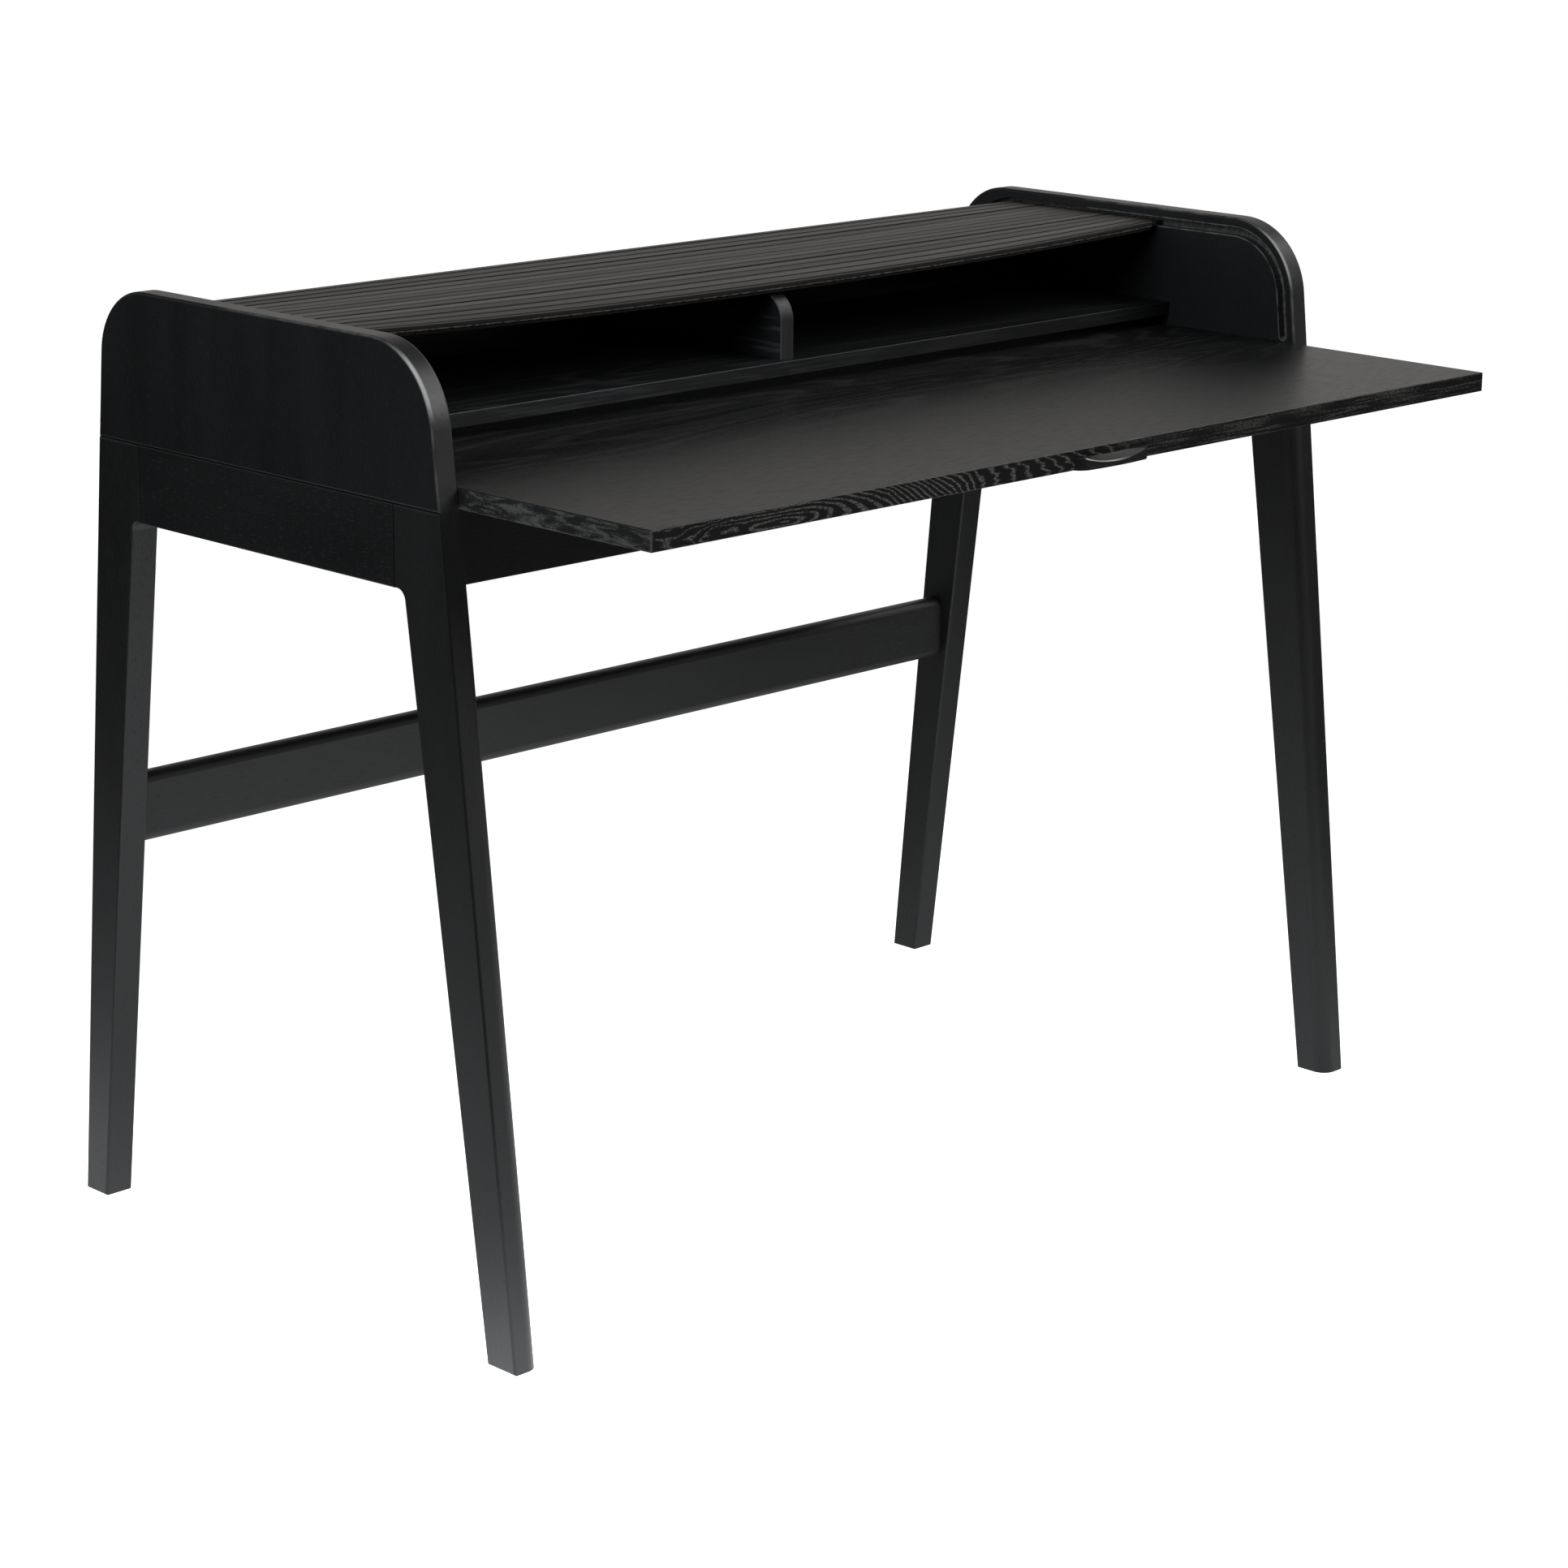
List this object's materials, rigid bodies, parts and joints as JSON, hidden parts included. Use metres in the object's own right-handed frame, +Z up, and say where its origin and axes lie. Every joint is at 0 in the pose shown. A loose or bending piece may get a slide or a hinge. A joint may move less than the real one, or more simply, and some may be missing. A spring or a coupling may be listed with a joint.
{
  "type": "tambour desk",
  "caption": "Writing desk with a sliding tambour shutter over a pigeonhole shelf, a worktop that draws out, and splayed tapering legs.",
  "frame": {"origin": "middle of the footprint on the floor, with the worktop drawn out and the shutter open", "axes": "+X to the sitter's right, +Y to the back of the desk, +Z up"},
  "size_m": [1.1, 0.7408, 0.837],
  "materials": {
    "shutter_wood": "satin",
    "backing_canvas": "matte",
    "dowel_wood": "matte",
    "screw_steel": "brushed",
    "panel_veneer": "satin",
    "worktop_veneer": "satin",
    "shelf_veneer": "satin",
    "back_board_veneer": "satin",
    "runner_wood": "matte",
    "apron_veneer": "satin",
    "frame_wood": "satin"
  },
  "bodies": {
    "case": {"left_side_panel": "panel_veneer", "right_side_panel": "panel_veneer", "left_front_leg": "frame_wood", "right_front_leg": "frame_wood", "left_rear_leg": "frame_wood", "right_rear_leg": "frame_wood", "left_side_rail": "frame_wood", "right_side_rail": "frame_wood", "left_fixed_runner": "runner_wood", "right_fixed_runner": "runner_wood", "front_apron": "apron_veneer", "rear_apron": "apron_veneer", "rear_stretcher": "frame_wood", "shelf": "shelf_veneer", "shelf_divider": "shelf_veneer", "inner_back_board": "back_board_veneer", "panel_dowels": "dowel_wood", "side_rail_dowels": "dowel_wood", "cross_board_dowels": "dowel_wood", "shelf_dowels": "dowel_wood", "runner_screws": "screw_steel"},
    "worktop": {"worktop": "worktop_veneer", "worktop_pull": "worktop_veneer", "left_worktop_slider": "runner_wood", "right_worktop_slider": "runner_wood", "slider_screws": "screw_steel"},
    "tambour": {"tambour_lead_rail": "shutter_wood", "tambour_slat_01": "shutter_wood", "tambour_slat_02": "shutter_wood", "tambour_slat_03": "shutter_wood", "tambour_slat_04": "shutter_wood", "tambour_slat_05": "shutter_wood", "tambour_slat_06": "shutter_wood", "tambour_slat_07": "shutter_wood", "tambour_slat_08": "shutter_wood", "tambour_slat_09": "shutter_wood", "tambour_slat_10": "shutter_wood", "tambour_slat_11": "shutter_wood", "tambour_canvas": "backing_canvas"},
    "tambour_tail_12": {"tambour_slat_12": "shutter_wood"},
    "tambour_tail_13": {"tambour_slat_13": "shutter_wood"},
    "tambour_tail_14": {"tambour_slat_14": "shutter_wood"},
    "tambour_tail_15": {"tambour_slat_15": "shutter_wood"},
    "tambour_tail_16": {"tambour_slat_16": "shutter_wood"},
    "tambour_tail_17": {"tambour_slat_17": "shutter_wood"},
    "tambour_tail_middle": {"tambour_slat_18": "shutter_wood"},
    "tambour_tail_19": {"tambour_slat_19": "shutter_wood"},
    "tambour_tail_20": {"tambour_slat_20": "shutter_wood"}
  },
  "joints": [
    {"name": "worktop_slide", "type": "slide", "parent": "case", "child": "worktop", "axis": [0, 1, 0], "range_m": [0, 0.22]},
    {"name": "tambour_slide", "type": "slide", "parent": "case", "child": "tambour", "axis": [0, -1, 0], "range_m": [0, 0.0906]},
    {"name": "tambour_tail_12_turn", "type": "hinge", "parent": "case", "child": "tambour_tail_12", "pos_m": [0, 0.18086, -0.34373], "axis": [1, 0, 0], "range_deg": [0, 4.48]},
    {"name": "tambour_tail_13_turn", "type": "hinge", "parent": "case", "child": "tambour_tail_13", "pos_m": [0, 0.18841, 0.52277], "axis": [1, 0, 0], "range_deg": [0, 17.53]},
    {"name": "tambour_tail_14_turn", "type": "hinge", "parent": "case", "child": "tambour_tail_14", "pos_m": [0, 0.19596, 0.64995], "axis": [1, 0, 0], "range_deg": [0, 30.58]},
    {"name": "tambour_tail_15_turn", "type": "hinge", "parent": "case", "child": "tambour_tail_15", "pos_m": [0, 0.20351, 0.70086], "axis": [1, 0, 0], "range_deg": [0, 43.63]},
    {"name": "tambour_tail_16_turn", "type": "hinge", "parent": "case", "child": "tambour_tail_16", "pos_m": [0, 0.21106, 0.72779], "axis": [1, 0, 0], "range_deg": [0, 56.68]},
    {"name": "tambour_tail_17_turn", "type": "hinge", "parent": "case", "child": "tambour_tail_17", "pos_m": [0, 0.21861, 0.74387], "axis": [1, 0, 0], "range_deg": [0, 69.73]},
    {"name": "tambour_tail_middle_turn", "type": "hinge", "parent": "case", "child": "tambour_tail_middle", "pos_m": [0, 0.22358, 0.751], "axis": [1, 0, 0], "range_deg": [0, 78.31]},
    {"name": "tambour_tail_19_turn", "type": "hinge", "parent": "case", "child": "tambour_tail_19", "pos_m": [0, 0.21899, 0.74764], "axis": [1, 0, 0], "range_deg": [0, 72.49]},
    {"name": "tambour_tail_20_turn", "type": "hinge", "parent": "case", "child": "tambour_tail_20", "pos_m": [0, 0.20446, 0.74009], "axis": [1, 0, 0], "range_deg": [0, 59.44]}
  ],
  "couplings": [
    {"joint": "tambour_tail_12_turn", "follows": "tambour_slide", "rad_per_m": 0.86089},
    {"joint": "tambour_tail_13_turn", "follows": "tambour_slide", "rad_per_m": 3.3747},
    {"joint": "tambour_tail_14_turn", "follows": "tambour_slide", "rad_per_m": 5.8885},
    {"joint": "tambour_tail_15_turn", "follows": "tambour_slide", "rad_per_m": 8.4024},
    {"joint": "tambour_tail_16_turn", "follows": "tambour_slide", "rad_per_m": 10.916},
    {"joint": "tambour_tail_17_turn", "follows": "tambour_slide", "rad_per_m": 13.43},
    {"joint": "tambour_tail_middle_turn", "follows": "tambour_slide", "rad_per_m": 15.083},
    {"joint": "tambour_tail_19_turn", "follows": "tambour_slide", "rad_per_m": 13.963},
    {"joint": "tambour_tail_20_turn", "follows": "tambour_slide", "rad_per_m": 11.449}
  ]
}
